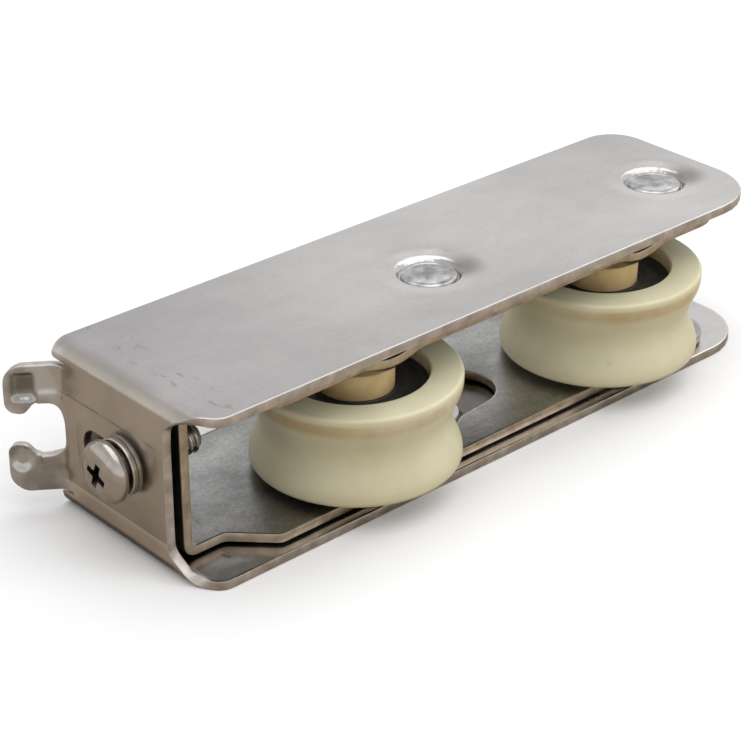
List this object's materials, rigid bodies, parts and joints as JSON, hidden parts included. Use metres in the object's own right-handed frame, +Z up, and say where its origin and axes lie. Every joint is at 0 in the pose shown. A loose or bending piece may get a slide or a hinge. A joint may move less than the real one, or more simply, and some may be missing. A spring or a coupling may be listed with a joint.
{
  "type": "tandem sliding door roller",
  "caption": "Sheet-steel sliding door roller: grooved nylon wheels on ball bearings in an inner carriage, raised and lowered along ramp slots by an adjusting screw at the hooked end.",
  "frame": {"origin": "centre of the base of the whole roller's box, as it lies on its lower flange", "axes": "+X along the roller, away from the end with the adjusting screw; -Y the open side where the wheels stand out towards the track; +Z up through the flanges, along the wheel axes"},
  "size_m": [0.123, 0.044, 0.027],
  "materials": {
    "stainless_steel": "satin cold-rolled sheet",
    "screw_steel": "polished",
    "bearing_steel": "ground",
    "ivory_nylon": "moulded, satin",
    "tan_spacer": "satin",
    "brass_cage": "pressed",
    "black_seal": "matt"
  },
  "bodies": {
    "housing": {"outer_housing": "stainless_steel", "guide_rivet_1_upper": "stainless_steel", "guide_rivet_1_lower": "stainless_steel", "guide_rivet_2_upper": "stainless_steel", "guide_rivet_2_lower": "stainless_steel"},
    "carriage": {"inner_carriage": "stainless_steel", "wheel_1_axle": "stainless_steel", "wheel_1_inner_race": "bearing_steel", "wheel_1_spacer_top": "tan_spacer", "wheel_1_spacer_bottom": "tan_spacer", "wheel_2_axle": "stainless_steel", "wheel_2_inner_race": "bearing_steel", "wheel_2_spacer_top": "tan_spacer", "wheel_2_spacer_bottom": "tan_spacer"},
    "wheel_1": {"wheel_1_tyre": "ivory_nylon", "wheel_1_outer_race": "bearing_steel", "wheel_1_seal_top": "black_seal", "wheel_1_seal_bottom": "black_seal"},
    "wheel_1_balls": {"wheel_1_ball_cage": "brass_cage", "wheel_1_ball_1": "bearing_steel", "wheel_1_ball_2": "bearing_steel", "wheel_1_ball_3": "bearing_steel", "wheel_1_ball_4": "bearing_steel", "wheel_1_ball_5": "bearing_steel", "wheel_1_ball_6": "bearing_steel", "wheel_1_ball_7": "bearing_steel"},
    "wheel_2": {"wheel_2_tyre": "ivory_nylon", "wheel_2_outer_race": "bearing_steel", "wheel_2_seal_top": "black_seal", "wheel_2_seal_bottom": "black_seal"},
    "wheel_2_balls": {"wheel_2_ball_cage": "brass_cage", "wheel_2_ball_1": "bearing_steel", "wheel_2_ball_2": "bearing_steel", "wheel_2_ball_3": "bearing_steel", "wheel_2_ball_4": "bearing_steel", "wheel_2_ball_5": "bearing_steel", "wheel_2_ball_6": "bearing_steel", "wheel_2_ball_7": "bearing_steel"},
    "washer": {"screw_washer": "screw_steel"},
    "screw": {"adjusting_screw": "screw_steel"}
  },
  "joints": [
    {"name": "carriage_adjust", "type": "slide", "parent": "housing", "child": "carriage", "axis": [0.866, 0.5, 0], "range_m": [0, 0.005]},
    {"name": "screw_shift", "type": "slide", "parent": "housing", "child": "washer", "axis": [0, 1, 0], "range_m": [0, 0.0025]},
    {"name": "screw_turn", "type": "hinge", "parent": "washer", "child": "screw", "pos_m": [-0.05552, 0.00185, 0.0135], "axis": [-1, 0, 0], "range_deg": [0, 1480]},
    {"name": "wheel_1_spin", "type": "hinge", "parent": "carriage", "child": "wheel_1", "pos_m": [-0.01892, -0.00615, 0.0117], "axis": [0, 0, 1], "continuous": true},
    {"name": "wheel_1_balls_orbit", "type": "hinge", "parent": "carriage", "child": "wheel_1_balls", "pos_m": [-0.01892, -0.00615, 0.0117], "axis": [0, 0, 1], "continuous": true},
    {"name": "wheel_2_spin", "type": "hinge", "parent": "carriage", "child": "wheel_2", "pos_m": [0.03358, -0.00615, 0.0117], "axis": [0, 0, 1], "continuous": true},
    {"name": "wheel_2_balls_orbit", "type": "hinge", "parent": "carriage", "child": "wheel_2_balls", "pos_m": [0.03358, -0.00615, 0.0117], "axis": [0, 0, 1], "continuous": true}
  ],
  "couplings": [
    {"joint": "screw_shift", "follows": "carriage_adjust", "ratio": 0.5},
    {"joint": "screw_turn", "follows": "carriage_adjust", "rad_per_m": 5141.6},
    {"joint": "wheel_1_balls_orbit", "follows": "wheel_1_spin", "ratio": 0.632},
    {"joint": "wheel_2_balls_orbit", "follows": "wheel_2_spin", "ratio": 0.632}
  ]
}
